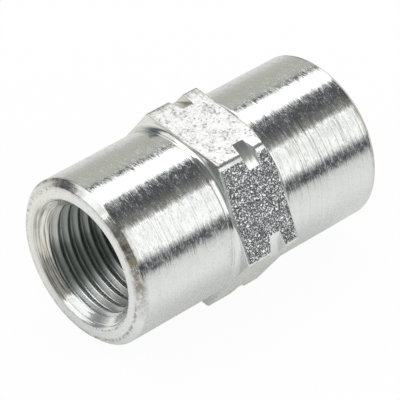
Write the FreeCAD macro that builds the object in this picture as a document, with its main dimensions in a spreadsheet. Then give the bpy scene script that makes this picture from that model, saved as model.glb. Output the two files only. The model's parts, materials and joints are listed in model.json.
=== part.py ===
"""Straight brake line connector, female thread at both ends.

One solid, turned from hexagon bar. Millimetres. The bore lies along X and the hexagon rests on
one of its flats, so +Z is the normal of the upper flat. The origin is the middle of the
connector, on the bore axis.
"""
import FreeCAD, Part

import math
import os

import Sketcher

# Driving dimensions, in millimetres and degrees
SIZES = (
    ("connector_length", 24.5),   # from end face to end face
    ("across_flats", 14.0),       # hexagon bar
    ("flat_step", 0.15),          # how far the flats stand out past the turned ends
    ("hexagon_width", 5.1),       # the band of hexagon left between the two turned ends
    ("shoulder_radius", 0.42),    # inner corner where each round meets the hexagon
    ("end_chamfer", 0.5),         # outer edge of each end face
    ("mark_depth", 0.58),         # groove that marks the hexagon's corners
    ("mark_floor", 1.03),         # width of that groove's floor
    ("mark_offset", 0.57),        # groove's distance from the middle of the connector
    ("mark_front_angle", 33.0),   # slant of the wall towards -X
    ("mark_back_angle", 12.0),    # slant of the wall towards +X
    ("port_diameter", 9.0),       # tapping drill of an M10 x 1 thread
    ("port_spacing", 5.3),        # between the ends of the two ports' full diameters
    ("mouth_width", 0.9),         # ring of the countersink, seen on the end face
    ("mouth_angle", 90.0),        # included angle of the countersink
    ("seat_angle", 120.0),        # included angle of the seat at the bottom of the port
    ("passage_diameter", 3.5),    # drilling that joins the two ports
    ("cutter_overrun", 1.0),      # how far each cut runs out past the bar
)

CORNER_RADIUS = "(Sizes.across_flats / 2 / cos(30 deg))"
CUT_RADIUS = "(" + CORNER_RADIUS + " + Sizes.cutter_overrun)"
BODY_RADIUS = "(Sizes.across_flats / 2 - Sizes.flat_step)"
HALF_LENGTH = "Sizes.connector_length / 2"
END_CLEAR = "(Sizes.connector_length / 2 + Sizes.cutter_overrun)"


def make_sheet(document):
    sheet = document.addObject("Spreadsheet::Sheet", "Sizes")
    for row, (alias, value) in enumerate(SIZES, start=1):
        sheet.set("A%d" % row, alias)
        sheet.set("B%d" % row, str(value))
        sheet.setAlias("B%d" % row, alias)
    document.recompute()
    return sheet


def origin_feature(body, role):
    for feature in body.Origin.OriginFeatures:
        if feature.Role == role:
            return feature
    raise RuntimeError("no origin feature " + role)


def new_sketch(body, name, role):
    sketch = body.newObject("Sketcher::SketchObject", name)
    sketch.AttachmentSupport = [(origin_feature(body, role), "")]
    sketch.MapMode = "FlatFace"
    return sketch


def evaluate(sketch, expression):
    value = sketch.evalExpression(expression)
    return float(getattr(value, "Value", value))


def draw_profile(sketch, corners, arcs=()):
    """Closed outline through corners given as pairs of expressions.

    arcs holds (side, radius expression, centre x expression, centre y expression): that side of
    the outline is an arc, which turns anticlockwise from its first corner to its second.
    """
    arcs = {side: rest for side, *rest in arcs}
    points = [FreeCAD.Vector(evaluate(sketch, x), evaluate(sketch, y), 0) for x, y in corners]
    sides = []
    for side, start in enumerate(points):
        end = points[(side + 1) % len(points)]
        if side in arcs:
            radius, centre_x, centre_y = (evaluate(sketch, text) for text in arcs[side])
            centre = FreeCAD.Vector(centre_x, centre_y, 0)
            angles = [math.atan2(p.y - centre_y, p.x - centre_x) for p in (start, end)]
            circle = Part.Circle(centre, FreeCAD.Vector(0, 0, 1), radius)
            geometry = sketch.addGeometry(Part.ArcOfCircle(circle, *angles), False)
            row = sketch.addConstraint(Sketcher.Constraint("Radius", geometry, radius))
            sketch.setExpression("Constraints[%d]" % row, arcs[side][0])
        else:
            geometry = sketch.addGeometry(Part.LineSegment(start, end), False)
        sides.append(geometry)
    for geometry, following in zip(sides, sides[1:] + sides[:1]):
        sketch.addConstraint(Sketcher.Constraint("Coincident", geometry, 2, following, 1))
    for geometry, point, corner in zip(sides, points, corners):
        for kind, value, expression in zip(("DistanceX", "DistanceY"), point, corner):
            if expression == "0":
                axis = -2 if kind == "DistanceX" else -1
                sketch.addConstraint(Sketcher.Constraint("PointOnObject", geometry, 1, axis))
                continue
            row = sketch.addConstraint(Sketcher.Constraint(kind, -1, 1, geometry, 1, value))
            sketch.setExpression("Constraints[%d]" % row, expression)


def draw_hexagon(sketch, radius_expression):
    """Regular hexagon with two corners on the sketch's horizontal axis."""
    radius = evaluate(sketch, radius_expression)
    centre = FreeCAD.Vector(0, 0, 0)
    circle = sketch.addGeometry(Part.Circle(centre, FreeCAD.Vector(0, 0, 1), radius), True)
    sketch.addConstraint(Sketcher.Constraint("Coincident", circle, 3, -1, 1))
    row = sketch.addConstraint(Sketcher.Constraint("Radius", circle, radius))
    sketch.setExpression("Constraints[%d]" % row, radius_expression)
    corners = [FreeCAD.Vector(radius * math.cos(math.pi / 3 * k),
                              radius * math.sin(math.pi / 3 * k), 0) for k in range(6)]
    sides = [sketch.addGeometry(Part.LineSegment(corners[k], corners[(k + 1) % 6]), False)
             for k in range(6)]
    for k, side in enumerate(sides):
        sketch.addConstraint(Sketcher.Constraint("Coincident", side, 2, sides[(k + 1) % 6], 1))
        sketch.addConstraint(Sketcher.Constraint("PointOnObject", side, 1, circle))
        if k:
            sketch.addConstraint(Sketcher.Constraint("Equal", sides[0], side))
    sketch.addConstraint(Sketcher.Constraint("PointOnObject", sides[0], 1, -1))


def turned_cut(body, name, corners, arcs=()):
    """Material turned away round the bore axis, from an outline in the XY plane."""
    volume = body.Tip.Shape.Volume
    sketch = new_sketch(body, name + "Profile", "XY_Plane")
    draw_profile(sketch, corners, arcs)
    cut = body.newObject("PartDesign::Groove", name)
    cut.Profile = sketch
    cut.ReferenceAxis = (sketch, ["H_Axis"])
    cut.Angle = 360
    body.Document.recompute()
    if not cut.Shape.Volume < volume:
        raise RuntimeError(name + " removes nothing")
    return cut


def hexagon_bar(body):
    sketch = new_sketch(body, "BarSection", "YZ_Plane")
    draw_hexagon(sketch, CORNER_RADIUS)
    bar = body.newObject("PartDesign::Pad", "HexagonBar")
    bar.Profile = sketch
    bar.SideType = "Symmetric"
    bar.setExpression("Length", "Sizes.connector_length")
    body.Document.recompute()
    return bar


def turned_end(body):
    """The round end, its shoulder against the hexagon and its chamfered outer edge."""
    shoulder = "Sizes.hexagon_width / 2"
    round_start = "Sizes.hexagon_width / 2 + Sizes.shoulder_radius"
    fillet_top = BODY_RADIUS + " + Sizes.shoulder_radius"
    corners = (
        (shoulder, CUT_RADIUS),
        (shoulder, fillet_top),
        (round_start, BODY_RADIUS),
        (HALF_LENGTH + " - Sizes.end_chamfer", BODY_RADIUS),
        (END_CLEAR, BODY_RADIUS + " - Sizes.end_chamfer - Sizes.cutter_overrun"),
        (END_CLEAR, CUT_RADIUS),
    )
    fillet = (1, "Sizes.shoulder_radius", round_start, fillet_top)
    return turned_cut(body, "TurnedEnd", corners, [fillet])


def port(body):
    """Countersunk mouth, thread hole and conical seat of one end."""
    hole = "Sizes.port_diameter / 2"
    mouth = hole + " + Sizes.mouth_width"
    mouth_slope = "tan(Sizes.mouth_angle / 2 * 1 deg)"
    bottom = "Sizes.port_spacing / 2"
    corners = (
        (bottom + " - " + hole + " / tan(Sizes.seat_angle / 2 * 1 deg)", "0"),
        (bottom, hole),
        (HALF_LENGTH + " - Sizes.mouth_width / " + mouth_slope, hole),
        (END_CLEAR, mouth + " + Sizes.cutter_overrun * " + mouth_slope),
        (END_CLEAR, "0"),
    )
    return turned_cut(body, "Port", corners)


def corner_mark(body):
    """Shallow groove round the hexagon, deep enough to notch only its corners."""
    floor = CORNER_RADIUS + " - Sizes.mark_depth"
    depth = "(Sizes.mark_depth + Sizes.cutter_overrun)"
    front = "Sizes.mark_offset - Sizes.mark_floor / 2"
    back = "Sizes.mark_offset + Sizes.mark_floor / 2"
    corners = (
        (front, floor),
        (back, floor),
        (back + " + " + depth + " * tan(Sizes.mark_back_angle * 1 deg)", CUT_RADIUS),
        (front + " - " + depth + " * tan(Sizes.mark_front_angle * 1 deg)", CUT_RADIUS),
    )
    return turned_cut(body, "CornerMark", corners)


def passage(body):
    """Drilling right through, which stays visible only between the two seats."""
    volume = body.Tip.Shape.Volume
    sketch = new_sketch(body, "PassageSection", "YZ_Plane")
    circle = Part.Circle(FreeCAD.Vector(0, 0, 0), FreeCAD.Vector(0, 0, 1), 1)
    section = sketch.addGeometry(circle, False)
    sketch.addConstraint(Sketcher.Constraint("Coincident", section, 3, -1, 1))
    row = sketch.addConstraint(Sketcher.Constraint("Diameter", section, 2))
    sketch.setExpression("Constraints[%d]" % row, "Sizes.passage_diameter")
    drilling = body.newObject("PartDesign::Pocket", "Passage")
    drilling.Profile = sketch
    drilling.SideType = "Symmetric"
    drilling.Type = "ThroughAll"
    body.Document.recompute()
    if not drilling.Shape.Volume < volume:
        raise RuntimeError("Passage removes nothing")
    return drilling


def mirror_ends(body, features):
    """Repeats what is cut at the +X end at the -X end."""
    volume = body.Tip.Shape.Volume
    mirrored = body.newObject("PartDesign::Mirrored", "OtherEnd")
    mirrored.Originals = features
    mirrored.MirrorPlane = (origin_feature(body, "YZ_Plane"), [""])
    body.Tip = mirrored
    body.Document.recompute()
    if not mirrored.Shape.Volume < volume:
        raise RuntimeError("OtherEnd removes nothing")
    return mirrored


def connector_body(document):
    body = document.addObject("PartDesign::Body", "ConnectorBody")
    body.Label = "connector_body"
    hexagon_bar(body)
    mirror_ends(body, [turned_end(body), port(body)])
    corner_mark(body)
    passage(body)
    body.Placement = FreeCAD.Placement()
    return body


def check_document(document):
    for item in document.Objects:
        if "Invalid" in item.State or "Error" in item.State:
            raise RuntimeError("%s: %s" % (item.Name, item.State))


def export(piece):
    shape = piece.Shape
    if shape.isNull() or not shape.isValid() or len(shape.Solids) != 1:
        raise RuntimeError(piece.Label + " isn't one valid solid")
    shape.exportStep("parts/%s.step" % piece.Label)
    print(piece.Label, "volume %.1f mm3" % shape.Volume, shape.BoundBox)


def main():
    os.makedirs("parts", exist_ok=True)
    document = FreeCAD.newDocument("BrakeLineConnector")
    make_sheet(document)
    pieces = [connector_body(document)]
    document.recompute()
    check_document(document)
    for piece in pieces:
        export(piece)


main()
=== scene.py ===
"""Looks of the brake line connector: a zinc plated steel union with an M10 x 1 thread in each end.

Metres, in the frame of the part: the bore lies along X and the hexagon rests on one of its flats.
The body is one closed mesh, made of columns of points round the bore. Each column is the outline
of the connector in the half plane at its angle, and angles are measured from +Y towards +Z.
"""

import functools
import json
import math

import bmesh
import bpy
from mathutils import Matrix, Vector

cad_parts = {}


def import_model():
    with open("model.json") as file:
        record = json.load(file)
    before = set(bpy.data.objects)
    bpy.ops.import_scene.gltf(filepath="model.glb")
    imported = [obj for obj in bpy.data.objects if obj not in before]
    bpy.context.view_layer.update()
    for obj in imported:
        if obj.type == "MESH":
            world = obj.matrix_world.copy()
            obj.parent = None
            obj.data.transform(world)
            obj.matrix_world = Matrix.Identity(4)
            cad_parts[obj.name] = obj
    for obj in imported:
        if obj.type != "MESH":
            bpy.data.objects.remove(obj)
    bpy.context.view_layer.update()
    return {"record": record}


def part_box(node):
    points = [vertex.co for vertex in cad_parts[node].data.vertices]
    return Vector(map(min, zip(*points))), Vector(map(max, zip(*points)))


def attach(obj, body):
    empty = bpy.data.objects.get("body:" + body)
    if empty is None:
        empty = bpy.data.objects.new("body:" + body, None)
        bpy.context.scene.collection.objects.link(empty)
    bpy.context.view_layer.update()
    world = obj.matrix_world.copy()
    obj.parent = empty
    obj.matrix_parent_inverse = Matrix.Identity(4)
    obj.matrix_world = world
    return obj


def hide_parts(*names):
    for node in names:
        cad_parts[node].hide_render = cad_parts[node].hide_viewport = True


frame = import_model()

MM = 0.001
TURN = 2 * math.pi
SECTOR = math.radians(60)
record = frame["record"]
front_mount = next(mount for mount in record["mounts"] if mount["name"] == "front_port")
box_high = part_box("connector_body")[1]

# Sizes of the body
HALF_LENGTH = box_high.x
FLAT_DISTANCE = box_high.z
FLAT_STEP = 0.15 * MM
BODY_RADIUS = FLAT_DISTANCE - FLAT_STEP
HEXAGON_HALF_WIDTH = 2.55 * MM
FRONT_FILLET = 0.42 * MM
REAR_FILLET = 0.16 * MM
END_CHAMFER = 0.5 * MM
MARK_DEPTH = 0.58 * MM
MARK_RADIUS = FLAT_DISTANCE / math.cos(SECTOR / 2) - MARK_DEPTH
MARK_FRONT = 0.055 * MM
MARK_BACK = 1.085 * MM
MARK_FRONT_SLANT = math.tan(math.radians(33))
MARK_BACK_SLANT = math.tan(math.radians(12))
CORNER_ROUND = 0.3 * MM
WORN_CORNER_ROUND = 0.75 * MM

# The corner between the upper flat and the camera's flat, worn at its rear end
WORN_ANGLE = math.radians(120)
WORN_REACH = math.radians(24)
WORN_RADIUS = 7.3 * MM
WORN_SLOPE = 0.72

# Sizes of the ports
PORT_RADIUS = front_mount["dims"]["r_mm"] * MM
PORT_INNER_END = abs(front_mount["pos_m"][0]) - front_mount["dims"]["length_mm"] * MM / 2
MOUTH_WIDTH = 0.9 * MM
MOUTH_RADIUS = PORT_RADIUS + MOUTH_WIDTH
PASSAGE_RADIUS = 1.75 * MM
SEAT_SLOPE = math.tan(math.radians(60))

# Thread, with its widths and its round as shares of the pitch
PITCH = 1.0 * MM
THREAD_DEPTH = 0.5 * MM
THREAD_LENGTH = 8.4 * MM
THREAD_FADE = 1.3 * MM
THREAD_LEAD = 0.72 * MM
THREAD_RISE = 0.12 * MM
CREST_DEPTH = 1.66 * MM
CREST_WIDTH = 0.15
ROOT_WIDTH = 0.28
THREAD_ROUND = 0.15
THREAD_ROUND_STEPS = 2

# Small rounds of the edges, as the distance from the edge at which the round starts
FINE_EDGE = 0.06 * MM
HEXAGON_EDGE = 0.045 * MM
UPPER_FRONT_EDGE = 0.10 * MM
FRONT_EDGE = 0.15 * MM
MARK_EDGE = 0.04 * MM
EDGE_STEPS = 3
EDGE_SUPPORT = 0.02 * MM
EDGE_CHANGE = math.radians(6)

# Share of a side that a round may take
LONGEST_REACH = 0.45

# Angles between faces past which an edge is sharp
MARK_CREASE = math.radians(12)
BODY_CREASE = math.radians(40)

# Fine turned lines
LINE_DEPTH = 0.03 * MM
LINE_WIDTH = 0.1 * MM
MOUTH_LINE = 0.25 * MM
SHOULDER_LINE = 0.08 * MM

# Steps of the columns and of their stretches
ROUND_COLUMNS = 5
MARK_COLUMNS = 5
FLAT_COLUMNS = 10
FACE_STEPS = 3
TURNED_STEPS = 8
SHOULDER_STEPS = 12
SAME_PLACE = 0.0001 * MM


def corner_round(angle):
    """Radius of the round on the hexagon corner nearest to that angle."""
    return WORN_CORNER_ROUND if abs(angle - WORN_ANGLE) < SECTOR / 2 else CORNER_ROUND


def hexagon_radius(angle):
    """Distance from the bore axis to the hexagon's outline, whose corners are rounded."""
    from_corner = abs((angle + SECTOR / 2) % SECTOR - SECTOR / 2)
    corner = corner_round(angle)
    centre = (FLAT_DISTANCE - corner) / math.cos(SECTOR / 2)
    if from_corner < corner_round_angle(corner):
        across = centre * math.sin(from_corner)
        return centre * math.cos(from_corner) + math.sqrt(corner ** 2 - across ** 2)
    return FLAT_DISTANCE / math.cos(SECTOR / 2 - from_corner)


def corner_round_angle(corner):
    """Angle from a hexagon corner at which its round ends."""
    along_flat = (FLAT_DISTANCE - corner) * math.tan(SECTOR / 2)
    return SECTOR / 2 - math.atan(along_flat / FLAT_DISTANCE)


def half_sector(corner):
    """Angles from a hexagon corner to the middle of a flat."""
    mark_end = SECTOR / 2 - math.acos(FLAT_DISTANCE / MARK_RADIUS)
    stretches = ((corner_round_angle(corner), ROUND_COLUMNS),
                 (mark_end, MARK_COLUMNS),
                 (SECTOR / 2, FLAT_COLUMNS))
    half = [0.0]
    for end, count in stretches:
        start = half[-1]
        half += [start + (end - start) * step / count for step in range(1, count + 1)]
    return half


def column_angles():
    """Angles of the columns, with one on each line where the hexagon's outline changes."""
    angles = []
    for side in range(6):
        start, end = side * SECTOR, (side + 1) * SECTOR
        angles += [start + angle for angle in half_sector(corner_round(start))]
        angles += [end - angle for angle in half_sector(corner_round(end))[-2:0:-1]]
    return angles


def toward(start, end, reach):
    """Point at that distance from start towards end, and never past the middle."""
    gap = math.dist(start, end)
    share = min(reach / gap, LONGEST_REACH) if gap > 0 else 0
    return tuple(a + (b - a) * share for a, b in zip(start, end))


def round_corner(before, corner, after, reach, steps=EDGE_STEPS):
    """Points of a small round in place of a corner."""
    first, last = toward(corner, before, reach), toward(corner, after, reach)
    points = []
    for step in range(steps + 1):
        t = step / steps
        weights = ((1 - t) ** 2, 2 * t * (1 - t), t ** 2)
        points.append(tuple(weights[0] * a + weights[1] * b + weights[2] * c
                            for a, b, c in zip(first, corner, last)))
    return points


def straight(start, end, reach, steps=1):
    """Points along a straight side, with one just past the round at each of its ends."""
    near_end = (reach + EDGE_SUPPORT) / math.dist(start, end)
    shares = [near_end] + [step / steps for step in range(1, steps)] + [1 - near_end]
    return [tuple(a + (b - a) * share for a, b in zip(start, end)) for share in shares]


def smooth(value):
    """Soft step from 0 to 1."""
    share = min(max(value, 0), 1)
    return share * share * (3 - 2 * share)


def worn(angle, radius):
    """How far the worn corner of the hexagon stands back at that place."""
    share = smooth(2 - 2 * abs(angle - WORN_ANGLE) / WORN_REACH)
    return share * max(radius - WORN_RADIUS, 0) * WORN_SLOPE


def front_edge(angle):
    """Size of the front edge's round, which is fine on the upper flat and wider elsewhere."""
    from_top = abs(angle - math.pi / 2) - SECTOR / 2
    share = smooth(from_top / EDGE_CHANGE)
    return UPPER_FRONT_EDGE + (FRONT_EDGE - UPPER_FRONT_EDGE) * share


def shoulder_point(travel, fillet):
    """Point of the shoulder after that way along it: up the fillet, then up the hexagon's end."""
    quarter = fillet * math.pi / 2
    turn = min(travel, quarter) / fillet
    rest = max(travel - quarter, 0)
    return (HEXAGON_HALF_WIDTH + fillet * (1 - math.sin(turn)),
            BODY_RADIUS + fillet * (1 - math.cos(turn)) + rest)


def shoulder(radius, fillet, edge):
    """The shoulder from the round end up to the hexagon's outline at that radius."""
    height = radius - BODY_RADIUS
    if height < fillet:
        length = fillet * math.acos(1 - height / fillet)
    else:
        length = fillet * (math.pi / 2 - 1) + height
    edge = min(edge, length * LONGEST_REACH)
    corner = shoulder_point(length, fillet)
    points = [shoulder_point((length - edge) * step / SHOULDER_STEPS, fillet)
              for step in range(SHOULDER_STEPS)]
    before = shoulder_point(length - 2 * edge, fillet)
    return points + round_corner(before, corner, (0, radius), edge)


def mouth_points():
    """The cone of the mouth from the thread outwards, with a fine turned line in it."""
    depths = (THREAD_LEAD,
              THREAD_LEAD - LINE_WIDTH,
              (THREAD_LEAD + MOUTH_LINE) / 2,
              MOUTH_LINE + LINE_WIDTH,
              MOUTH_LINE + LINE_WIDTH / 2,
              MOUTH_LINE,
              MOUTH_LINE - LINE_WIDTH / 2,
              MOUTH_LINE - LINE_WIDTH)
    sinks = [LINE_DEPTH if depth == MOUTH_LINE else 0 for depth in depths]
    return [(HALF_LENGTH - depth, MOUTH_RADIUS - depth + sink)
            for depth, sink in zip(depths, sinks)]


def end_outline(radius, fillet, hexagon_edge):
    """Outline of one end from its thread to the hexagon, as (zone, points) stretches."""
    mouth = (HALF_LENGTH, MOUTH_RADIUS)
    face = (HALF_LENGTH, BODY_RADIUS - END_CHAMFER)
    edge = (HALF_LENGTH - END_CHAMFER, BODY_RADIUS)
    cone = mouth_points()
    line_end = HEXAGON_HALF_WIDTH + fillet + SHOULDER_LINE
    line_start = (line_end + LINE_WIDTH, BODY_RADIUS)
    turned_line = [line_start,
                   (line_end + LINE_WIDTH / 2, BODY_RADIUS - LINE_DEPTH),
                   (line_end, BODY_RADIUS)]
    return (("mouth", cone + round_corner(cone[-1], mouth, face, FINE_EDGE)),
            ("face", straight(mouth, face, FINE_EDGE, FACE_STEPS)),
            ("chamfer", round_corner(mouth, face, edge, FINE_EDGE)
             + straight(face, edge, FINE_EDGE)),
            ("turned", round_corner(face, edge, line_start, FINE_EDGE)
             + straight(edge, line_start, FINE_EDGE, TURNED_STEPS)
             + turned_line),
            ("fillet", shoulder(radius, fillet, hexagon_edge)))


def mark_outline(radius, rear_end, front_edge_size):
    """Groove across the hexagon from its +X edge to its -X edge, without depth off the corners."""
    rise = max(radius - MARK_RADIUS, 0)
    bottom = min(radius, MARK_RADIUS)
    back_top = (MARK_BACK + rise * MARK_BACK_SLANT, radius)
    front_top = (MARK_FRONT - rise * MARK_FRONT_SLANT, radius)
    back_floor, front_floor = (MARK_BACK, bottom), (MARK_FRONT, bottom)
    reach = min(MARK_EDGE, rise)
    front_end = HEXAGON_HALF_WIDTH - front_edge_size - EDGE_SUPPORT
    return ([(rear_end - HEXAGON_EDGE - EDGE_SUPPORT, radius)]
            + round_corner((rear_end, radius), back_top, back_floor, reach)
            + [back_floor, front_floor]
            + round_corner(front_floor, front_top, (-HEXAGON_HALF_WIDTH, radius), reach)
            + [(-front_end, radius)])


def outer_column(angle):
    """Points and zones from the rear port's mouth over the outside to the front port's mouth."""
    radius = hexagon_radius(angle)
    rear, rear_zones = end_column(radius, REAR_FILLET, HEXAGON_EDGE)
    front, front_zones = end_column(radius, FRONT_FILLET, front_edge(angle))
    rear = [(x - worn(angle, r), r) for x, r in rear]
    mark = mark_outline(radius, HEXAGON_HALF_WIDTH - worn(angle, radius), front_edge(angle))
    mark_zone = "mark" if radius > MARK_RADIUS else "flat"
    mark_zones = ["flat"] + [mark_zone] * (len(mark) - 3) + ["flat"] * 2
    points = rear + mark + [(-x, r) for x, r in reversed(front)]
    zones = rear_zones + mark_zones + list(reversed(front_zones))[1:] + ["mouth"]
    return points, zones


def end_column(radius, fillet, edge):
    """Points and zones of one column of an end."""
    points, zones = [], []
    for zone, stretch in end_outline(radius, fillet, edge):
        points += stretch
        zones += [zone] * len(stretch)
    zones[-EDGE_STEPS - 1:] = ["edge"] * EDGE_STEPS + ["flat"]
    return points, zones


def inner_column():
    """Points from the front port's full bore over its seat and the passage to the rear port."""
    seat_end = PORT_INNER_END - (PORT_RADIUS - PASSAGE_RADIUS) / SEAT_SLOPE
    seat = [(PORT_INNER_END, PORT_RADIUS), (seat_end, PASSAGE_RADIUS)]
    return [(-x, r) for x, r in seat] + list(reversed(seat))


def thread_turn():
    """One turn of the thread's profile: (share of the pitch, share of the thread's depth)."""
    root_middle = 1 / 2
    corners = [(-CREST_WIDTH / 2, 0), (CREST_WIDTH / 2, 0),
               (root_middle - ROOT_WIDTH / 2, 1), (root_middle + ROOT_WIDTH / 2, 1)]
    around = [(corners[-1][0] - 1, 1)] + corners + [(corners[0][0] + 1, 0)]
    turn = []
    for before, corner, after in zip(around, around[1:], around[2:]):
        turn += round_corner(before, corner, after, THREAD_ROUND, THREAD_ROUND_STEPS)
    return turn


def thread_rows(start, end, crest):
    """Rows of a thread at angle 0, as (x, share of depth), reaching past start and end."""
    turn = thread_turn()
    first = crest + PITCH * (math.floor((start - crest) / PITCH) - 2)
    turns = math.ceil((end - first) / PITCH) + 1
    return [(first + PITCH * (count + along), deep)
            for count in range(turns) for along, deep in turn]


def mouth_cone(x):
    """Radius of the cone of the mouth."""
    return MOUTH_RADIUS - (HALF_LENGTH - abs(x))


def thread_radius(x, deep):
    """Radius of the cut thread, which fades in at the mouth and out before the port's bottom."""
    depth = HALF_LENGTH - abs(x)
    start = smooth((depth - THREAD_LEAD) / THREAD_RISE)
    end = smooth((THREAD_LENGTH - depth) / THREAD_FADE)
    return PORT_RADIUS + THREAD_DEPTH * deep * (start * end)


def thread_column(rows, angle):
    """Points of one column of a thread, cut back to the cone of the mouth."""
    places = [(x + PITCH * angle / TURN, deep) for x, deep in rows]
    cut = [(x, thread_radius(x, deep)) for x, deep in places]
    over = [r - mouth_cone(x) for x, r in cut]
    points = []
    for row, (x, r) in enumerate(cut):
        if over[row] < 0:
            for beside in (row - 1, row + 1):
                if 0 <= beside < len(cut) and over[beside] > 0:
                    share = over[row] / (over[row] - over[beside])
                    x += (cut[beside][0] - x) * share
                    break
            r = mouth_cone(x)
        points.append((x, r))
    return points


def zone_names(angle):
    """Zones that go by another name between the column at that angle and the next one."""
    just_past = math.radians(0.6)
    inside = angle + just_past
    names = {}
    if angle < math.pi / 2:
        names["mark"] = "darker_mark"
    if SECTOR < inside < 2 * SECTOR:
        names.update(flat="upper_flat", edge="upper_edge")
    elif WORN_ANGLE < inside < WORN_ANGLE + corner_round_angle(WORN_CORNER_ROUND):
        names["flat"] = "edge"
    elif math.pi < inside < math.pi + SECTOR:
        names["flat"] = "lower_flat"
    return names


class Skin:
    """Vertices of the body, its faces and the zone of each face, as they are laid."""

    def __init__(self):
        self.vertices = []
        self.faces = []
        self.zones = []

    def place(self, points, angle):
        """Lays points of one column, and gives the number of each."""
        ids = []
        for count, (x, r) in enumerate(points):
            if not count or math.dist(points[count - 1], (x, r)) > SAME_PLACE:
                self.vertices.append((x, r * math.cos(angle), r * math.sin(angle)))
            ids.append(len(self.vertices) - 1)
        return ids

    def place_thread(self, rows, angle, low, low_id, high, high_id):
        """Lays one column of a thread, which starts and ends on points that are there already."""
        ids = []
        for x, r in thread_column(rows, angle):
            if x <= low:
                ids.append(low_id)
            elif x >= high:
                ids.append(high_id)
            else:
                ids += self.place([(x, r)], angle)
        return ids

    def join(self, left, right, zones):
        """Lays the faces between two columns, and leaves out those without any width."""
        for row in range(len(left) - 1):
            around = (left[row], right[row], right[row + 1], left[row + 1])
            corners = list(dict.fromkeys(around))
            if len(corners) > 2:
                self.faces.append(corners)
                self.zones.append(zones[row])


def body_mesh(name):
    """The closed body. Its threads shift one turn where the last column meets the first."""
    skin = Skin()
    angles = column_angles()
    start, end = -HALF_LENGTH + THREAD_LEAD, -PORT_INNER_END
    crest = -HALF_LENGTH + CREST_DEPTH
    front_rows = thread_rows(start, end, crest)
    rear_rows = thread_rows(-end, -start, -crest)
    outer, outer_zones, inner, front, rear = [], [], [], [], []
    for angle in angles:
        points, zones = outer_column(angle)
        outer.append(skin.place(points, angle))
        outer_zones.append(zones)
        inner.append(skin.place(inner_column(), angle))
        front_ends = (start, outer[-1][-1], end, inner[-1][0])
        rear_ends = (-end, inner[-1][-1], -start, outer[-1][0])
        front.append(skin.place_thread(front_rows, angle, *front_ends))
        rear.append(skin.place_thread(rear_rows, angle, *rear_ends))

    turn_rows = len(thread_turn())
    for here, angle in enumerate(angles):
        after = (here + 1) % len(angles)
        shift = turn_rows if after == 0 else 0
        names = zone_names(angle)
        pairs = zip(outer_zones[here], outer_zones[after])
        zones = ["mark" if "mark" in pair else pair[0] for pair in pairs]
        skin.join(outer[here], outer[after], [names.get(zone, zone) for zone in zones])
        skin.join(inner[here], inner[after], ["thread"] * len(inner[here]))
        for rows, low, high in ((front, outer, inner), (rear, inner, outer)):
            left = [low[here][-1]] * (1 + shift) + rows[here] + [high[here][0]]
            right = [low[after][-1]] + rows[after] + [high[after][0]] * (1 + shift)
            skin.join(left, right, ["thread"] * len(left))

    mesh = bpy.data.meshes.new(name)
    mesh.from_pydata(skin.vertices, [], skin.faces)
    return mesh, skin.zones


def tone(red, green, blue):
    return (red, green, blue, 1)


def grey(level):
    return tone(level, level, level)


# Colours of the plating, with a painted highlight in the upper flat's colour and painted shade in
# the thread's colours
ZINC = tone(0.765, 0.783, 0.77)
YELLOWED_ZINC = tone(0.76, 0.76, 0.69)
# Painted highlight: the upper flat's plating is made brighter to stand in for the overhead strip's
# light on it
UPPER_FLAT_PAINTED_HIGHLIGHT = tone(0.98, 0.98, 0.965)
OLIVE_ZINC = tone(0.83, 0.84, 0.76)
# Thread colours, darker than the plating: painted shade inside the bores
SHADED_THREAD_ZINC = tone(0.50, 0.535, 0.525)
DEEP_SHADE_ZINC = tone(0.17, 0.195, 0.18)
PINK_TINT = tone(0.78, 0.75, 0.78)
STREAK = tone(0.40, 0.40, 0.41)

# Colours of stains, dirt and pits, and the darker colour of the marks at the corners on the +Y
# side
EDGE_STAIN = tone(0.20, 0.185, 0.155)
# Darker, yellower colour of the marks at the corners on the +Y side
DARKER_MARK_TONE = tone(0.60, 0.59, 0.49)
STAIN = tone(0.20, 0.165, 0.13)
YELLOW_STAIN = tone(0.62, 0.50, 0.26)
DIRT = tone(0.40, 0.38, 0.33)
FINE_PIT = tone(0.42, 0.42, 0.39)
WORN_PIT = grey(0.36)

# Noise is 0.5 on average, and this spreads it to about -1 to 1
NOISE_MIDDLE = 0.5
NOISE_SPREAD = 5.0

# Width and length of a tool mark, in millimetres
TOOL_MARK_WIDTH = 0.075
TOOL_MARK_LENGTH = 1.5

# Reflections are stretched a quarter turn from the tool marks, so along the bore
QUARTER_TURN = 0.25


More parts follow.
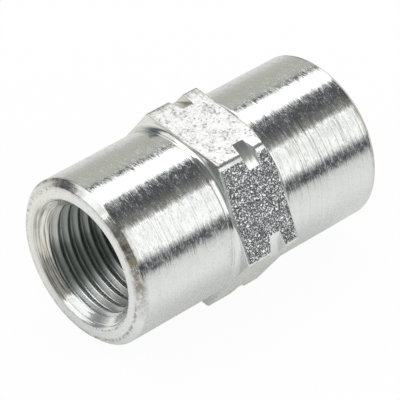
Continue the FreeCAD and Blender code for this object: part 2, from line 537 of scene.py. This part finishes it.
class Shader:
    """A material's node tree, with short calls that add and link its nodes."""

    def __init__(self, name):
        self.material = bpy.data.materials.new(name)
        self.material.use_nodes = True
        self.tree = self.material.node_tree
        self.tree.nodes.clear()
        self.output = self.add("ShaderNodeOutputMaterial")

    def add(self, kind, inputs=None, **settings):
        node = self.tree.nodes.new(kind)
        for name, value in settings.items():
            setattr(node, name, value)
        for socket, value in (inputs or {}).items():
            if isinstance(value, bpy.types.NodeSocket):
                self.tree.links.new(value, node.inputs[socket])
            else:
                node.inputs[socket].default_value = value
        return node

    def math(self, operation, first, second=0.0):
        return self.add("ShaderNodeMath", {0: first, 1: second}, operation=operation).outputs[0]

    def product(self, *factors):
        return functools.reduce(functools.partial(self.math, "MULTIPLY"), factors)

    def largest(self, *values):
        return functools.reduce(functools.partial(self.math, "MAXIMUM"), values)

    def vector(self, operation, first, second=(0, 0, 0)):
        return self.add("ShaderNodeVectorMath", {0: first, 1: second},
                        operation=operation).outputs["Vector"]

    def scale(self, vector, factor):
        return self.add("ShaderNodeVectorMath", {0: vector, "Scale": factor},
                        operation="SCALE").outputs["Vector"]

    def length(self, vector):
        return self.add("ShaderNodeVectorMath", {0: vector}, operation="LENGTH").outputs["Value"]

    def axes(self, vector):
        return self.add("ShaderNodeSeparateXYZ", {0: vector}).outputs

    def ramp(self, value, start, end, low=0.0, high=1.0):
        """From low where the value is start to high where it is end, and level beyond them."""
        return self.add("ShaderNodeMapRange", {"Value": value, "From Min": start, "From Max": end,
                                               "To Min": low, "To Max": high}).outputs[0]

    def color_mix(self, share, first, second):
        return self.add("ShaderNodeMix", {0: share, 6: first, 7: second},
                        data_type="RGBA").outputs[2]

    def surface_mix(self, share, first, second):
        return self.add("ShaderNodeMixShader", {0: share, 1: first, 2: second}).outputs[0]

    def glow(self, color, strength=1.0):
        return self.add("ShaderNodeEmission", {"Color": color, "Strength": strength}).outputs[0]

    def finish(self, shader_socket):
        self.tree.links.new(shader_socket, self.output.inputs["Surface"])
        return self.material


class ZincShader(Shader):
    """Shader that knows its place on the connector, in millimetres and degrees round the bore."""

    def __init__(self, name):
        super().__init__(name)
        self.normal = self.add("ShaderNodeNewGeometry").outputs["Normal"]
        self.place = self.scale(self.add("ShaderNodeTexCoord").outputs["Object"], 1 / MM)
        self.x, self.y = self.axes(self.place)[:2]
        self.radius = self.length(self.vector("MULTIPLY", self.place, (0, 1, 1)))
        self.off_middle = self.math("ABSOLUTE", self.x)
        self.depth = self.math("SUBTRACT", HALF_LENGTH / MM, self.off_middle)

    def noise(self, scale, detail=2.0, roughness=0.5):
        return self.add("ShaderNodeTexNoise", {"Vector": self.place, "Scale": scale,
                                               "Detail": detail, "Roughness": roughness}).outputs

    def turned_noise(self, across, around, detail=2.0):
        """Noise that changes fast across the tool marks and slowly along them."""
        stretched = self.vector("MULTIPLY", self.place, (1 / across, 1 / around, 1 / around))
        fourth = self.product(self.radius, 1 / across)
        return self.add("ShaderNodeTexNoise", {"Vector": stretched, "W": fourth, "Scale": 1.0,
                                               "Detail": detail, "Roughness": 0.6},
                        noise_dimensions="4D").outputs

    def near_ring(self, radius, depth, size):
        """1 on a circle round the bore, at that depth under each end face, and 0 past its size."""
        off_face = self.math("SUBTRACT", self.depth, depth)
        off_ring = self.math("SUBTRACT", self.radius, radius)
        square = self.math("ADD", self.product(off_face, off_face),
                           self.product(off_ring, off_ring))
        return self.ramp(self.math("SQRT", square), size, size / 3)

    def toward_angle(self, angle, reach, full, low=0.0, high=1.0):
        """High within full degrees of that angle round the bore, and low past its reach."""
        direction = (0, math.cos(math.radians(angle)), math.sin(math.radians(angle)))
        along = self.add("ShaderNodeVectorMath", {0: self.place, 1: direction},
                         operation="DOT_PRODUCT").outputs["Value"]
        cosine = self.math("DIVIDE", along, self.radius)
        return self.ramp(cosine, math.cos(math.radians(reach)), math.cos(math.radians(full)),
                         low=low, high=high)

    def patch(self, radius, depth, size, angle, reach, full):
        """Part of a circle round the bore, in both ends."""
        return self.product(self.near_ring(radius, depth, size),
                            self.toward_angle(angle, reach, full))


def uneven(shader, noise, tilt, outlier_tilt=0.0):
    """Random tilt: most of it small, and a few outliers much larger."""
    centred = shader.product(shader.math("SUBTRACT", noise, NOISE_MIDDLE), NOISE_SPREAD)
    even = shader.product(centred, tilt)
    if not outlier_tilt:
        return even
    cube = shader.math("POWER", shader.math("ABSOLUTE", centred), 3.0)
    signed = shader.product(shader.math("SIGN", centred), cube)
    return shader.math("ADD", even, shader.product(signed, outlier_tilt))


def turned_normal(shader, tilt_across, tilt_around, outlier_tilt):
    """Surface normal, tilted at random from one tool mark to the next, and the tangent."""
    noise = shader.turned_noise(across=TOOL_MARK_WIDTH, around=TOOL_MARK_LENGTH)["Color"]
    across, around = shader.add("ShaderNodeSeparateColor", {"Color": noise}).outputs[:2]
    tangent = shader.add("ShaderNodeTangent", direction_type="RADIAL", axis="X").outputs[0]
    along = shader.vector("CROSS_PRODUCT", shader.normal, tangent)
    first = shader.scale(along, uneven(shader, across, tilt_across))
    second = shader.scale(tangent, uneven(shader, around, tilt_around, outlier_tilt))
    tilted = shader.vector("ADD", shader.normal, shader.vector("ADD", first, second))
    return shader.vector("NORMALIZE", tilted), tangent


def speckled(shader, roughness, added):
    """Roughness with small rougher specks and wide, weaker blotches, or the same all over."""
    if not added:
        return roughness
    specks = shader.turned_noise(across=0.10, around=0.25, detail=3.0)["Fac"]
    blotches = shader.turned_noise(across=0.45, around=0.6)["Fac"]
    return shader.math("ADD",
                       shader.ramp(specks, 0.50, 0.68, low=roughness, high=roughness + added),
                       shader.ramp(blotches, 0.40, 0.65, high=added / 2))


def plated(shader, color, streak_share):
    """Colour of the plating, yellowed in places and on the +Y side, with streaks if asked."""
    hue = shader.turned_noise(across=2.2, around=2.2, detail=3.0)["Fac"]
    yellowed = shader.largest(shader.ramp(hue, 0.4, 0.65, high=0.3),
                              shader.ramp(shader.y, 0.3, 2.5, high=0.7))
    plating = shader.color_mix(yellowed, color, YELLOWED_ZINC)
    if not streak_share:
        return plating
    streaks = shader.turned_noise(across=0.10, around=5.0)["Fac"]
    more_at_rear = shader.ramp(shader.x, -2.0, 4.0, low=streak_share / 2, high=streak_share)
    band = shader.largest(shader.toward_angle(135, reach=24, full=15), 0.15)
    streaked = shader.product(shader.ramp(streaks, 0.52, 0.63), more_at_rear, band)
    return shader.color_mix(streaked, plating, STREAK)


def end_stain(shader):
    """Share of stain on each end: thin broken lines along its edges, and wider patches."""
    patches = shader.noise(2.2, detail=5.0, roughness=0.75)["Fac"]
    dots = shader.noise(2.6, detail=3.0, roughness=0.7)["Fac"]
    lines = shader.turned_noise(across=0.11, around=3.5, detail=3.0)["Fac"]

    face_edges = shader.largest(shader.near_ring(radius=6.25, depth=0.0, size=0.20),
                                shader.near_ring(radius=5.42, depth=0.0, size=0.11))
    weight = shader.toward_angle(215, reach=55, full=30, low=0.25, high=0.65)
    thin = shader.product(weight, shader.ramp(patches, 0.42, 0.54), face_edges)

    ticks = shader.patch(radius=6.25, depth=0.0, size=0.36, angle=32, reach=36, full=22)
    ticks = shader.product(ticks, shader.ramp(dots, 0.56, 0.60, high=0.75))

    cone_line = shader.patch(radius=5.12, depth=0.28, size=0.11, angle=-10, reach=50, full=20)
    cone_line = shader.product(cone_line, shader.ramp(patches, 0.35, 0.60, low=0.3, high=0.75))

    outside = shader.largest(
        shader.patch(radius=6.62, depth=0.2, size=0.7, angle=144, reach=48, full=12),
        shader.patch(radius=6.55, depth=0.15, size=0.42, angle=72, reach=18, full=8),
        shader.patch(radius=6.80, depth=0.45, size=0.30, angle=54, reach=28, full=14))
    outside = shader.product(outside, shader.ramp(patches, 0.37, 0.56, low=0.15, high=0.90))

    cone_low = shader.patch(radius=5.0, depth=0.4, size=0.9, angle=-42, reach=38, full=20)
    cone_low = shader.product(cone_low, shader.ramp(lines, 0.46, 0.56, low=0.15))
    cone_side = shader.patch(radius=5.0, depth=0.4, size=0.9, angle=-5, reach=45, full=25)
    cone_side = shader.product(cone_side, shader.ramp(lines, 0.475, 0.565, high=0.85))
    return shader.largest(thin, ticks, cone_line, outside, cone_low, cone_side)


def stain_color(shader):
    """Colour of the stain, which is brown, and yellow in spots."""
    spots = shader.ramp(shader.noise(1.3, detail=4.0)["Fac"], 0.48, 0.60)
    where = shader.largest(shader.toward_angle(138, reach=16, full=8),
                           shader.toward_angle(-40, reach=34, full=18, high=0.3))
    return shader.color_mix(shader.product(spots, where), STAIN, YELLOW_STAIN)


def painted_bore_shade(shader):
    """Share of painted shade deeper in a bore, strongest on its +Y side."""
    deep = shader.product(shader.ramp(shader.depth, 0.5, 2.6, high=0.77),
                          shader.toward_angle(-18, reach=64, full=38, low=0.05))
    near_mouth = shader.product(shader.ramp(shader.depth, 0.6, 1.2, high=0.85),
                                shader.toward_angle(-42, reach=36, full=14))
    first_turn = shader.product(shader.ramp(shader.depth, 0.8, 1.1, high=0.5),
                                shader.toward_angle(42, reach=26, full=12))
    return shader.largest(deep, near_mouth, first_turn)


def turned_zinc(name, color, roughness, tilt_across=0.03, tilt_around=0.02, outlier_tilt=0.0,
                anisotropy=0.0, speck_roughness=0.05, streak_share=0.0, metallic=1.0,
                shade_color=None):
    """Bright plated steel with tool marks round the bore; given a shade colour, it has painted
    highlight and painted shade in a bore.
    """
    shader = ZincShader(name)
    normal, tangent = turned_normal(shader, tilt_across, tilt_around, outlier_tilt)
    base = shader.color_mix(end_stain(shader), plated(shader, color, streak_share),
                            stain_color(shader))
    if shade_color:
        # Painted highlight: towards the bottom the bore goes back to the bright plating colour
        base = shader.color_mix(shader.toward_angle(-100, reach=55, full=30), base, ZINC)
        # Painted shade, deeper in a bore and on its +Y side
        base = shader.color_mix(painted_bore_shade(shader), base, shade_color)
    surface = shader.add("ShaderNodeBsdfPrincipled",
                         {"Base Color": base, "Metallic": metallic,
                          "Roughness": speckled(shader, roughness, speck_roughness),
                          "Anisotropic": anisotropy, "Anisotropic Rotation": QUARTER_TURN,
                          "Normal": normal, "Tangent": tangent})
    return shader.finish(surface.outputs[0])


def border(shader):
    """Share of dirt on the upper flat, at both ends, along its far edge and in its far corners."""
    ends = shader.ramp(shader.off_middle, 2.30, 2.52, high=0.5)
    rear_end = shader.ramp(shader.x, 2.0, 2.5, high=0.3)
    far_edge = shader.ramp(shader.y, 3.70, 3.98, high=0.9)
    rear_corner = shader.math("MINIMUM", shader.ramp(shader.x, 0.3, 1.0, low=0.15, high=0.85),
                              shader.ramp(shader.x, 1.3, 2.4, low=0.85, high=0.40))
    front_corner = shader.ramp(shader.x, -2.0, -2.4, high=0.55)
    corners = shader.product(shader.ramp(shader.y, 2.8, 3.6),
                             shader.largest(rear_corner, front_corner))
    patches = shader.noise(2.5, detail=4.0, roughness=0.7)["Fac"]
    return shader.product(shader.largest(ends, rear_end, far_edge, corners),
                          shader.ramp(patches, 0.38, 0.58, low=0.25))


def flat_zinc(name, color, roughness, grain_size, grain_tilt, pit_color, pit_share, dirty=False):
    """The hexagon's flats: plated over the drawn surface of the bar, full of small pits."""
    shader = ZincShader(name)
    grain = shader.noise(1 / grain_size, roughness=0.6)["Color"]
    centred = shader.vector("SUBTRACT", grain, (NOISE_MIDDLE, NOISE_MIDDLE, NOISE_MIDDLE))
    tilted = shader.vector("ADD", shader.normal, shader.scale(centred, grain_tilt))

    groups = shader.noise(1.0)["Fac"]
    pits = shader.noise(1 / 0.26, detail=4.0, roughness=0.65)["Fac"]
    grouped = shader.math("ADD", pits, shader.ramp(groups, 0.40, 0.60, low=0.07, high=-0.06))
    pitted = shader.ramp(grouped, pit_share + 0.06, pit_share - 0.10)

    veins = shader.noise(1 / 0.8, detail=3.0, roughness=0.6)["Fac"]
    off_vein = shader.math("ABSOLUTE", shader.math("SUBTRACT", veins, NOISE_MIDDLE))
    cracked = shader.product(shader.ramp(off_vein, 0.024, 0.002),
                             shader.ramp(groups, 0.44, 0.56, low=0.1, high=0.55))

    base = shader.color_mix(shader.ramp(groups, 0.60, 0.40, high=0.14), color, PINK_TINT)
    base = shader.color_mix(shader.largest(pitted, cracked), base, pit_color)
    if dirty:
        base = shader.color_mix(border(shader), base, DIRT)
    surface = shader.add("ShaderNodeBsdfPrincipled",
                         {"Base Color": base, "Metallic": 1.0, "Roughness": roughness,
                          "Normal": shader.vector("NORMALIZE", tilted)})
    return shader.finish(surface.outputs[0])


def finishes():
    """A material for each zone of the body."""
    return {
        "turned": turned_zinc("turned_zinc", ZINC, roughness=0.12, tilt_across=0.04,
                              outlier_tilt=0.03, anisotropy=0.6, speck_roughness=0.26,
                              streak_share=0.8),
        "chamfer": turned_zinc("chamfer_zinc", ZINC, roughness=0.12, tilt_across=0.02,
                               outlier_tilt=0.03, anisotropy=0.4, speck_roughness=0.15,
                               metallic=0.94),
        "fillet": turned_zinc("fillet_zinc", ZINC, roughness=0.09, tilt_across=0.012,
                              tilt_around=0.008, anisotropy=0.3, speck_roughness=0.1),
        "face": turned_zinc("face_zinc", ZINC, roughness=0.24, tilt_across=0.05,
                            tilt_around=0.03, anisotropy=0.3, speck_roughness=0.2),
        "mouth": turned_zinc("mouth_zinc", ZINC, roughness=0.11, tilt_across=0.06,
                             tilt_around=0.03, outlier_tilt=0.03, anisotropy=0.4,
                             speck_roughness=0.12, metallic=0.80),
        # The thread's darker colours are painted shade, with a painted highlight towards the
        # bottom
        "thread": turned_zinc("thread_zinc", SHADED_THREAD_ZINC, roughness=0.30, tilt_across=0.02,
                              tilt_around=0.01, speck_roughness=0.0, metallic=0.88,
                              shade_color=DEEP_SHADE_ZINC),
        "mark": turned_zinc("mark_zinc", ZINC, roughness=0.13, metallic=0.90),
        # The marks at the corners on the +Y side are darker and yellower
        "darker_mark": turned_zinc("stained_mark_zinc", DARKER_MARK_TONE, roughness=0.25),
        "edge": turned_zinc("edge_zinc", ZINC, roughness=0.25),
        "upper_edge": turned_zinc("upper_edge_zinc", EDGE_STAIN, roughness=0.4),
        "flat": flat_zinc("flat_zinc", ZINC, roughness=0.14, grain_size=0.19, grain_tilt=0.88,
                          pit_color=FINE_PIT, pit_share=0.37),
        # The upper flat's bright colour is a painted highlight
        "upper_flat": flat_zinc("upper_flat_zinc", UPPER_FLAT_PAINTED_HIGHLIGHT, roughness=0.30, grain_size=0.25,
                                grain_tilt=0.10, pit_color=WORN_PIT, pit_share=0.43,
                                dirty=True),
        "lower_flat": flat_zinc("lower_flat_zinc", OLIVE_ZINC, roughness=0.25, grain_size=0.2,
                                grain_tilt=0.5, pit_color=FINE_PIT, pit_share=0.38),
    }


def set_normals(item, names):
    """Turns the front of every face outwards, and creases the marks where they end."""
    edit = bmesh.new()
    edit.from_mesh(item.data)
    bmesh.ops.recalc_face_normals(edit, faces=edit.faces)
    for edge in edit.edges:
        kinds = {names[face.material_index] for face in edge.link_faces}
        at_mark_end = len(kinds) > 1 and kinds & {"mark", "darker_mark"}
        if at_mark_end and edge.calc_face_angle() > MARK_CREASE:
            edge.smooth = False
    edit.to_mesh(item.data)
    edit.free()


def make_connector():
    """The connector's body as one mesh, with a finish for each of its zones."""
    mesh, zones = body_mesh("connector")
    materials = finishes()
    names = list(materials)
    for material in materials.values():
        mesh.materials.append(material)
    for polygon, zone in zip(mesh.polygons, zones):
        polygon.material_index = names.index(zone)
        polygon.use_smooth = True
    mesh.validate()
    mesh.set_sharp_from_angle(angle=BODY_CREASE)
    connector = bpy.data.objects.new("connector", mesh)
    bpy.context.scene.collection.objects.link(connector)
    set_normals(connector, names)
    weighted = connector.modifiers.new("weighted_normals", "WEIGHTED_NORMAL")
    weighted.keep_sharp = True
    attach(connector, "root")
    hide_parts("connector_body")


# Studio, in metres and as angles round the bore from +Y towards +Z
LIGHT_DISTANCE = 0.45
CARD_DISTANCE = 0.7
CARD_FRONT = -1.1
CARD_REAR = 1.6
BACK_SPLIT = 0.26
TOP_SPLIT = 0.18
LOW_SPLIT = -0.2
SOFTBOX_FRONT = -0.40
SOFTBOX_REAR = 0.48
WALL_DISTANCE = 1.2

# Colours of the cards
HOOD = tone(0.09, 0.095, 0.105)
HOOD_EDGE = tone(0.14, 0.145, 0.155)
HAZE = tone(0.185, 0.19, 0.19)
GLARE = tone(0.24, 0.23, 0.215)
BACK = tone(0.525, 0.53, 0.49)
SLATE = tone(0.14, 0.16, 0.19)
GAP = grey(0.10)

# Floor, with the shares of its own glow that the camera and reflections see
FLOOR_REACH = 3
FLOOR_GAP = 0.01 * MM
FLOOR_NEAR = 15 * MM
FLOOR_PAINT = grey(0.75)
CAMERA_SHARE = 0.95
REFLECTED_SHARE = 0.35

# Camera, fitted to the photograph
CAMERA_AZIMUTH = math.radians(-44.9)
CAMERA_ELEVATION = math.radians(40.9)
CAMERA_ROLL = math.radians(4.11)
CAMERA_DISTANCE = 253.43 * MM
CAMERA_AIM = Vector((-0.198, 0.008, -0.155)) * MM
CAMERA_LENS = 298.6
CAMERA_SENSOR = 36


def radial(degrees):
    """Direction away from the bore at that angle."""
    angle = math.radians(degrees)
    return Vector((0, math.cos(angle), math.sin(angle)))


def softbox(name, start, end, front, rear, brightness):
    """Rectangular lamp parallel to the bore, seen from the connector between two angles."""
    middle = (start + end) / 2
    lamp = bpy.data.lights.new(name, "AREA")
    lamp.shape = "RECTANGLE"
    lamp.size = rear - front
    lamp.size_y = 2 * LIGHT_DISTANCE * math.tan(math.radians(end - start) / 2)
    lamp.energy = brightness * math.pi / 4 * lamp.size * lamp.size_y
    light = bpy.data.objects.new(name, lamp)
    light.location = LIGHT_DISTANCE * radial(middle) + Vector(((front + rear) / 2, 0, 0))
    light.rotation_euler = (math.radians(middle - 90), 0, 0)
    bpy.context.scene.collection.objects.link(light)


def stage_piece(name, vertices, faces, material):
    """Piece of the studio, with one material."""
    mesh = bpy.data.meshes.new(name)
    mesh.from_pydata([tuple(vertex) for vertex in vertices], [], faces)
    mesh.materials.append(material)
    item = bpy.data.objects.new(name, mesh)
    bpy.context.scene.collection.objects.link(item)
    return item


def reflected_piece(name, vertices, faces, colors):
    """Piece of the studio that is seen in reflections only, and glows in its vertices' colors."""
    shader = Shader(name)
    color = shader.add("ShaderNodeVertexColor", layer_name="glow").outputs["Color"]
    item = stage_piece(name, vertices, faces, shader.finish(shader.glow(color)))
    layer = item.data.color_attributes.new("glow", "FLOAT_COLOR", "POINT")
    for point, point_color in zip(layer.data, colors):
        point.color = point_color
    item.visible_camera = False
    item.visible_diffuse = False
    item.visible_shadow = False


def card(name, stops, front, rear):
    """Card bent round the bore through (angle, color) stops."""
    vertices = [CARD_DISTANCE * radial(angle) + Vector((x, 0, 0))
                for angle, color in stops for x in (front, rear)]
    colors = [color for angle, color in stops for side in range(2)]
    faces = [(2 * k, 2 * k + 1, 2 * k + 3, 2 * k + 2) for k in range(len(stops) - 1)]
    reflected_piece(name, vertices, faces, colors)


def end_wall(name, x, low_color, high_color):
    """Wall square to the bore."""
    vertices = [(x, y, z) for z in (-FLAT_DISTANCE, WALL_DISTANCE)
                for y in (-WALL_DISTANCE, WALL_DISTANCE)]
    reflected_piece(name, vertices, [(0, 1, 3, 2)], [low_color] * 2 + [high_color] * 2)


def floor_glow(shader):
    """What reflections see of the floor: darker with distance, and brighter in two places."""
    place = shader.add("ShaderNodeNewGeometry").outputs["Position"]
    x, y = shader.axes(place)[:2]
    times_nearest = shader.math("DIVIDE", shader.length(place), FLOOR_NEAR)
    far = shader.math("LOGARITHM", times_nearest, math.e)
    level = shader.ramp(far, 3.2, 0.25, high=0.80)
    in_front = shader.product(shader.ramp(x, -12 * MM, -15 * MM, high=0.4),
                              shader.ramp(y, 40 * MM, 20 * MM))
    beside = shader.ramp(y, -9 * MM, -16 * MM, high=0.25)
    return shader.math("ADD", level, shader.largest(in_front, beside))


def floor():
    """White floor, which keeps the shadow and is seen in reflections too."""
    shader = Shader("floor_white")
    rays = shader.add("ShaderNodeLightPath").outputs
    reflected = shader.largest(rays["Is Glossy Ray"], rays["Is Transmission Ray"])
    paint = shader.add("ShaderNodeBsdfDiffuse", {"Color": FLOOR_PAINT}).outputs[0]
    direct = shader.surface_mix(shader.product(rays["Is Camera Ray"], CAMERA_SHARE), paint,
                                shader.glow(grey(1.0)))
    surface = shader.surface_mix(shader.product(reflected, REFLECTED_SHARE), direct,
                                 shader.glow(grey(1.0), floor_glow(shader)))
    height = -FLAT_DISTANCE - FLOOR_GAP
    vertices = [(x, y, height) for y in (-FLOOR_REACH, FLOOR_REACH)
                for x in (-FLOOR_REACH, FLOOR_REACH)]
    stage_piece("floor", vertices, [(0, 1, 3, 2)], shader.finish(surface))


def world():
    """White world, for the camera, in reflections and as even light."""
    studio_world = bpy.data.worlds.new("studio")
    bpy.context.scene.world = studio_world
    studio_world.use_nodes = True
    background = studio_world.node_tree.nodes["Background"]
    background.inputs["Color"].default_value = grey(1.0)
    background.inputs["Strength"].default_value = 1.0


def camera():
    """Camera at the photograph's viewing angle."""
    level = math.cos(CAMERA_ELEVATION)
    back = Vector((math.sin(CAMERA_AZIMUTH) * level, -math.cos(CAMERA_AZIMUTH) * level,
                   math.sin(CAMERA_ELEVATION)))
    facing = (-back).to_track_quat("-Z", "Y").to_matrix()
    data = bpy.data.cameras.new("camera")
    data.sensor_width = CAMERA_SENSOR
    data.lens = CAMERA_LENS
    data.clip_start = 0.01
    data.clip_end = 20
    item = bpy.data.objects.new("camera", data)
    item.location = CAMERA_AIM + CAMERA_DISTANCE * back
    item.rotation_euler = (facing @ Matrix.Rotation(CAMERA_ROLL, 3, "Z")).to_euler()
    bpy.context.scene.collection.objects.link(item)
    bpy.context.scene.camera = item


def lamps():
    """A strip overhead and a softbox in front, which has a bright rim."""
    softbox("overhead_strip", start=50.1, end=76.5, front=-1.0, rear=1.0, brightness=3.75)
    softbox("front_softbox", start=117.5, end=165.6, front=SOFTBOX_FRONT, rear=SOFTBOX_REAR,
            brightness=1.26)
    softbox("front_rim", start=118.5, end=122.0, front=SOFTBOX_FRONT, rear=SOFTBOX_REAR,
            brightness=1.5)


def cards():
    """Cards and walls between the lamps, which the metal mirrors."""
    card("side_panel", ((28, grey(1.25)), (51, grey(1.25))), front=-0.90, rear=-0.44)
    card("back_card", ((-4, grey(0.60)), (3, grey(0.60)), (14, BACK), (42.3, BACK),
                       (42.7, GAP), (52, GAP)), front=BACK_SPLIT, rear=CARD_REAR)
    card("dark_back_card", ((-0.5, grey(0.52)), (5, grey(0.34)), (10, SLATE), (21, SLATE),
                            (25, grey(0.40)), (28, grey(0.8))), front=CARD_FRONT, rear=BACK_SPLIT)
    card("hood_top", ((75, HOOD_EDGE), (84, HOOD), (100, HOOD), (112, GLARE), (120, GLARE)),
         front=TOP_SPLIT, rear=CARD_REAR)
    card("hood_top_front", ((76, grey(2.2)), (81, grey(2.0)), (84, HAZE), (104, HAZE),
                            (112, GLARE), (120, GLARE)), front=CARD_FRONT, rear=TOP_SPLIT)
    card("hood_front", ((161, HOOD), (176, HOOD), (181, grey(0.13))),
         front=LOW_SPLIT, rear=CARD_REAR)
    card("hood_low", ((116, HAZE), (161, HAZE), (180, grey(0.30))),
         front=CARD_FRONT, rear=LOW_SPLIT)
    end_wall("front_wall", -WALL_DISTANCE, low_color=tone(0.40, 0.42, 0.43),
             high_color=tone(0.24, 0.27, 0.28))
    end_wall("rear_wall", WALL_DISTANCE, low_color=tone(0.50, 0.50, 0.48),
             high_color=tone(0.40, 0.40, 0.38))


make_connector()
floor()
world()
camera()
lamps()
cards()
bpy.context.scene.view_settings.view_transform = "Standard"
